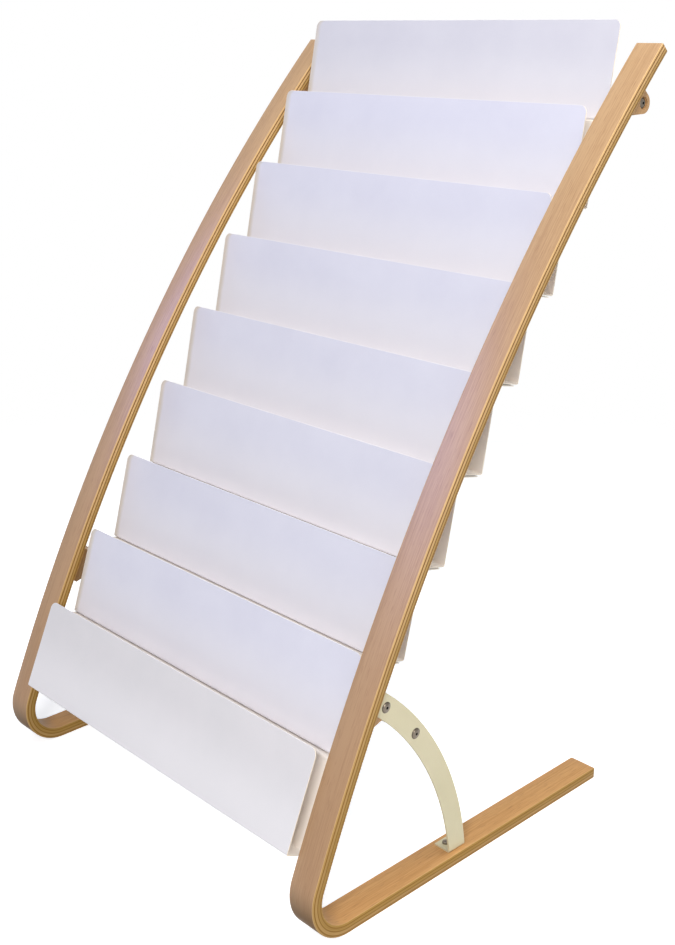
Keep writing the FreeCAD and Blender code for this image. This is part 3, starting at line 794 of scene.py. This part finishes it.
def add_tab(mesh, index, side, bolt, toward_root, root):
    """End tab of sheet, with a round end about its bolt."""
    layer = mesh.verts.layers.float_vector["sheet"]
    sideways = Vector((-toward_root.y, toward_root.x)) * TAB_WIDTH / 2
    outline = [bolt - sideways + toward_root * root, bolt + sideways + toward_root * root]
    for number in range(TAB_SPANS + 1):
        angle = math.pi * number / TAB_SPANS
        outline.append(bolt + sideways * math.cos(angle) - toward_root * TAB_WIDTH / 2 * math.sin(angle))
    loops = []
    for across in (TRAY_WIDTH / 2, TRAY_WIDTH / 2 - SHEET_THICKNESS):
        loops.append([mesh.verts.new(in_place(index, side * across, point.x, point.y)) for point in outline])
    for vertex in loops[0] + loops[1]:
        vertex[layer] = (0.0, LIP_HEIGHT, 1.0)
    close_tube(mesh, loops)


def add_tabs(mesh, index):
    """The tabs at both ends of the header and of the bolted tray."""
    half = SHEET_THICKNESS / 2
    for side in (1, -1):
        if index == 0:
            bolt = Vector((HEADER_BOLT_FROM_LIP, HEADER_BOLT_ABOVE_BOTTOM))
            add_tab(mesh, index, side, bolt, Vector((0, -1)), HEADER_BOLT_ABOVE_BOTTOM - half)
        if index == BOLTED_TRAY:
            bolt = Vector((TRAY_BOLT_FROM_LIP, TRAY_BOLT_ABOVE_BOTTOM))
            add_tab(mesh, index, side, bolt, Vector((1, 0)), TRAY_DEPTH - half - TRAY_BOLT_FROM_LIP)


def sheet_piece(name, index, material, node):
    """Header (index 0) or tray: one bent sheet with rounded lip corners, and the tabs for the frame bolts."""
    mesh = bmesh.new()
    layer = mesh.verts.layers.float_vector.new("sheet")
    rings = []
    rows = sheet_rows(sheet_path(index))
    top = rows[0][0].y
    for number, (middle, ahead) in enumerate(rows):
        from_top = top - middle.y if number <= CORNER_SPANS else LIP_HEIGHT
        width = half_width(from_top)
        off = Vector((-ahead.y, ahead.x)) * SHEET_THICKNESS / 2
        ring = []
        for across, inside in ((-width, 1), (width, 1), (width, 0), (-width, 0)):
            point = middle + off if inside else middle - off
            vertex = mesh.verts.new(in_place(index, across, point.x, point.y))
            vertex[layer] = (across / width * TRAY_WIDTH / 2, from_top, inside)
            ring.append(vertex)
        rings.append(ring)
    close_tube(mesh, rings)
    add_tabs(mesh, index)
    bmesh.ops.recalc_face_normals(mesh, faces=mesh.faces)
    piece = piece_from(name, mesh, material, "white_steel", node)
    round_edges(piece, SHEET_EDGE_ROUND)


# Bolts with low domed heads, whose tones go by shares of the head's radius
TURN_SPANS = 36
DOME_SPANS = 8
SOCKET_EDGE_SHARE = 0.32
SOCKET_RIM_TONE = 0.25
SHANK_TONE = 0.5


def bolt_profile(seat, end):
    """Rings of a bolt from its end to the dome's inner edge, as (place across, radius, tone)."""
    shank = BOLT_DIAMETER / 2
    head = BOLT_HEAD_DIAMETER / 2
    rings = [(end, shank, SHANK_TONE), (seat, shank, SHANK_TONE), (seat, head, 1.0)]
    rise = BOLT_HEAD_HEIGHT - BOLT_HEAD_RIM
    ball = (head ** 2 + rise ** 2) / (2 * rise)
    for number in range(DOME_SPANS + 1):
        share = 1 - (1 - SOCKET_EDGE_SHARE) * number / DOME_SPANS
        drop = ball - math.sqrt(ball ** 2 - (head * share) ** 2)
        rings.append((seat + BOLT_HEAD_HEIGHT - drop, head * share, share))
    return rings


def socket_radius(angle):
    """Radius of a hexagon socket at an angle round the bolt."""
    from_flat = (angle + math.pi / 6) % (math.pi / 3) - math.pi / 6
    return BOLT_SOCKET_WIDTH / 2 / math.cos(from_flat)


def add_bolt(mesh, side, centre, seat, end):
    layer = mesh.verts.layers.float_vector["head"]
    angles = [2 * math.pi * number / TURN_SPANS for number in range(TURN_SPANS)]
    rings = []

    def add_ring(across, radii, tone):
        ring = []
        for angle, radius in zip(angles, radii):
            place = (side * across, centre.y + radius * math.cos(angle), centre.z + radius * math.sin(angle))
            vertex = mesh.verts.new(place)
            vertex[layer] = (tone, 0.0, 0.0)
            ring.append(vertex)
        rings.append(ring)

    profile = bolt_profile(seat, end)
    for across, radius, tone in profile:
        add_ring(across, [radius] * TURN_SPANS, tone)
    socket_mouth = profile[-1][0]
    socket_floor = seat + BOLT_HEAD_HEIGHT - BOLT_SOCKET_DEPTH
    socket = [socket_radius(angle) for angle in angles]
    add_ring(socket_mouth, socket, SOCKET_RIM_TONE)
    add_ring(socket_floor, socket, 0.0)
    close_tube(mesh, rings)


def bolt_pair(name, end, material, node):
    """The right and left bolts of a CAD node, whose box gives their place and the height of their heads."""
    low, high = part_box(node)
    seat = high.x - BOLT_HEAD_HEIGHT
    mesh = bmesh.new()
    mesh.verts.layers.float_vector.new("head")
    for side in (1, -1):
        add_bolt(mesh, side, (low + high) / 2, seat, end)
    bmesh.ops.recalc_face_normals(mesh, faces=mesh.faces)
    piece_from(name, mesh, material, "bright_steel", node)


def dress(node, material, edge_round=0.0):
    """Give a CAD node its material, and rounded edges where it has any."""
    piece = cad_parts[node]
    piece.data.materials.clear()
    piece.data.materials.append(material)
    if edge_round:
        round_edges(piece, edge_round)


# Pieces
strip_wood = strip_beech()
lug_wood = lug_beech()
white = sheet_coat("powder_coat_white", LIP_WHITE, LIP_SHADE, END_REFLECTION_SHARE)
header_white = sheet_coat("powder_coat_white_header", HEADER_WHITE, HEADER_SHADE, END_REFLECTION_SHARE)
low_white = sheet_coat("powder_coat_white_low", LOW_LIP_WHITE, LOW_LIP_SHADE, 0.0)
cream = brace_cream()
plate = nickel()
bolt_plate = bolt_nickel()
nylon = dark_nylon()

bent_strip("right_frame_strip", 1, strip_wood, "right_side_frame")
bent_strip("left_frame_strip", -1, strip_wood, "left_side_frame")
sheet_piece("header_sheet", 0, header_white, "header_panel")
for tray_index in range(1, TRAY_COUNT + 1):
    coat = low_white if tray_index == TRAY_COUNT else white
    sheet_piece("tray_sheet_%d" % tray_index, tray_index, coat, "tray_%d" % tray_index)
frame_bolt_end = TRAY_WIDTH / 2 - SHEET_THICKNESS - NUT_HEIGHT - BOLT_PAST_NUT
stretcher_bolt_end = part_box("stretcher_rod")[1].x - STRETCHER_BOLT_LENGTH
bolt_pair("upper_bolt_pair", frame_bolt_end, bolt_plate, "upper_frame_bolts")
bolt_pair("lower_bolt_pair", frame_bolt_end, bolt_plate, "lower_frame_bolts")
bolt_pair("stretcher_bolt_pair", stretcher_bolt_end, bolt_plate, "stretcher_bolts")

for height in ("upper", "lower"):
    for hand in ("right", "left"):
        dress("%s_%s_lug" % (height, hand), lug_wood, LUG_EDGE_ROUND)
for hand in ("right", "left"):
    dress("%s_arc_brace" % hand, cream)
dress("stretcher_rod", cream)
dress("lug_dowels", lug_wood)
dress("tray_spacers", nylon)
dress("tray_rivets", plate)
dress("frame_nuts", plate)
dress("foot_screws", plate, SCREW_EDGE_ROUND)

# Camera at the photograph's place, for an image of 675 by 945
FOCAL_PIXELS = 1321.0
IMAGE_WIDTH = 675
IMAGE_HEIGHT = 945
PRINCIPAL_X = 368.76
PRINCIPAL_Y = 379.30
CAMERA_PLACE = (1.59225, -1.43016, 1.25547)
CAMERA_TURN = (75.1834, -0.1526, 45.6645)

camera_data = bpy.data.cameras.new("camera")
camera = bpy.data.objects.new("camera", camera_data)
bpy.context.scene.collection.objects.link(camera)
bpy.context.scene.camera = camera
camera.location = CAMERA_PLACE
camera.rotation_euler = [math.radians(angle) for angle in CAMERA_TURN]
camera_data.lens = FOCAL_PIXELS / IMAGE_HEIGHT * camera_data.sensor_width
camera_data.shift_x = (IMAGE_WIDTH / 2 - PRINCIPAL_X) / IMAGE_HEIGHT
camera_data.shift_y = (PRINCIPAL_Y - IMAGE_HEIGHT / 2) / IMAGE_HEIGHT


# Floor and world, which are white where they are seen and send less light to the stand
FLOOR_RADIUS = 6.0
FLOOR_SIDES = 96
FLOOR_BELOW_FEET = 0.0002
FLOOR_FADE_START = 0.9
FLOOR_FADE_END = 2.4
FLOOR_GLOW = 0.6
FLOOR_PALE = (0.90, 0.90, 0.90, 1)
FLOOR_PALER = (0.93, 0.93, 0.93, 1)
FLOOR_CLOUDS = 6.0
FLOOR_BOUNCE = (0.6, 0.6, 0.6, 1)
WHITE = (1, 1, 1, 1)
AMBIENT = 0.25
AMBIENT_TINT = (0.86, 0.94, 1.14, 1)


def seen_itself(tree):
    """1 for what the camera sees, also in a reflection, and 0 for light that falls on the stand."""
    path = tree.nodes.new("ShaderNodeLightPath")
    result = path.outputs["Is Camera Ray"]
    for name in ("Is Glossy Ray", "Is Transmission Ray"):
        either = tree.nodes.new("ShaderNodeMath")
        either.operation = "MAXIMUM"
        tree.links.new(result, either.inputs[0])
        tree.links.new(path.outputs[name], either.inputs[1])
        result = either.outputs[0]
    return result


def floor_material():
    """Pale floor that keeps the shadow near the stand, glows where seen and fades into the white world."""
    nodes = Nodes("floor_pale")
    tree = nodes.tree
    tree.nodes.remove(nodes.shader)
    place = nodes.place()
    seen = seen_itself(tree)
    diffuse = nodes.add("ShaderNodeBsdfDiffuse")
    clouds = nodes.noise(place, FLOOR_CLOUDS, detail=3.0)
    pale = nodes.two_tones(clouds, NOISE_RANGE, FLOOR_PALE, FLOOR_PALER)
    nodes.put(diffuse.inputs["Color"], nodes.mix(seen, FLOOR_BOUNCE, pale))
    glow = nodes.add("ShaderNodeEmission")
    nodes.put(glow.inputs["Strength"], nodes.times(seen, FLOOR_GLOW))
    lit = nodes.add("ShaderNodeAddShader")
    tree.links.new(diffuse.outputs[0], lit.inputs[0])
    tree.links.new(glow.outputs[0], lit.inputs[1])
    clear = nodes.add("ShaderNodeBsdfTransparent")
    distance = nodes.add("ShaderNodeVectorMath", operation="LENGTH")
    nodes.put(distance.inputs[0], place)
    fade = nodes.step(distance.outputs["Value"], FLOOR_FADE_START, FLOOR_FADE_END)
    both = nodes.add("ShaderNodeMixShader")
    nodes.put(both.inputs[0], nodes.times(fade, seen))
    tree.links.new(lit.outputs[0], both.inputs[1])
    tree.links.new(clear.outputs[0], both.inputs[2])
    tree.links.new(both.outputs[0], tree.nodes["Material Output"].inputs["Surface"])
    return nodes.material


floor_mesh = bmesh.new()
bmesh.ops.create_circle(floor_mesh, cap_ends=True, radius=FLOOR_RADIUS, segments=FLOOR_SIDES)
floor_data = bpy.data.meshes.new("floor")
floor_mesh.to_mesh(floor_data)
floor_mesh.free()
floor = bpy.data.objects.new("floor", floor_data)
floor.location.z = -FLOOR_BELOW_FEET
floor_data.materials.append(floor_material())
bpy.context.scene.collection.objects.link(floor)

world = bpy.data.worlds.new("white_room")
bpy.context.scene.world = world
world.use_nodes = True
world_tree = world.node_tree
backdrop = world_tree.nodes["Background"]
world_seen = seen_itself(world_tree)
tint = world_tree.nodes.new("ShaderNodeMix")
tint.data_type = "RGBA"
tint.inputs[MIX_FIRST].default_value = AMBIENT_TINT
tint.inputs[MIX_SECOND].default_value = WHITE
world_tree.links.new(world_seen, tint.inputs["Factor"])
world_tree.links.new(tint.outputs[MIX_RESULT], backdrop.inputs["Color"])
strength = world_tree.nodes.new("ShaderNodeMapRange")
strength.inputs["To Min"].default_value = AMBIENT
strength.inputs["To Max"].default_value = 1.0
world_tree.links.new(world_seen, strength.inputs["Value"])
world_tree.links.new(strength.outputs["Result"], backdrop.inputs["Strength"])


# Lamps
def area_light(name, place, target, size, power, colour):
    data = bpy.data.lights.new(name, "AREA")
    data.shape = "RECTANGLE"
    data.size, data.size_y = size
    data.energy = power
    data.color = colour
    light = bpy.data.objects.new(name, data)
    bpy.context.scene.collection.objects.link(light)
    light.location = place
    light.rotation_euler = (Vector(target) - Vector(place)).to_track_quat("-Z", "Y").to_euler()
    return light


area_light("overhead", place=(0.9, 0.4, 3.1), target=(0.2, 0.1, 0.0), size=(1.6, 1.6), power=46.0,
           colour=(1.0, 0.97, 0.90))
area_light("front", place=(3.1, -4.2, 3.3), target=(0.0, 0.0, 0.5), size=(2.0, 1.8), power=215.0,
           colour=(1.0, 0.99, 0.98))
area_light("side", place=(3.0, 0.2, 0.85), target=(0.4, 0.0, 0.6), size=(0.5, 1.5), power=15.0,
           colour=(1.0, 0.98, 0.94))
# This one is only reflected, and gives the bluish sheen on the lacquer
sheen = area_light("sheen", place=(-1.4, -1.65, 1.95), target=(0.2, 0.0, 0.65), size=(2.0, 0.9), power=66.0,
                   colour=(0.22, 0.30, 1.0))
sheen.visible_diffuse = False

bpy.context.scene.view_settings.view_transform = "Standard"
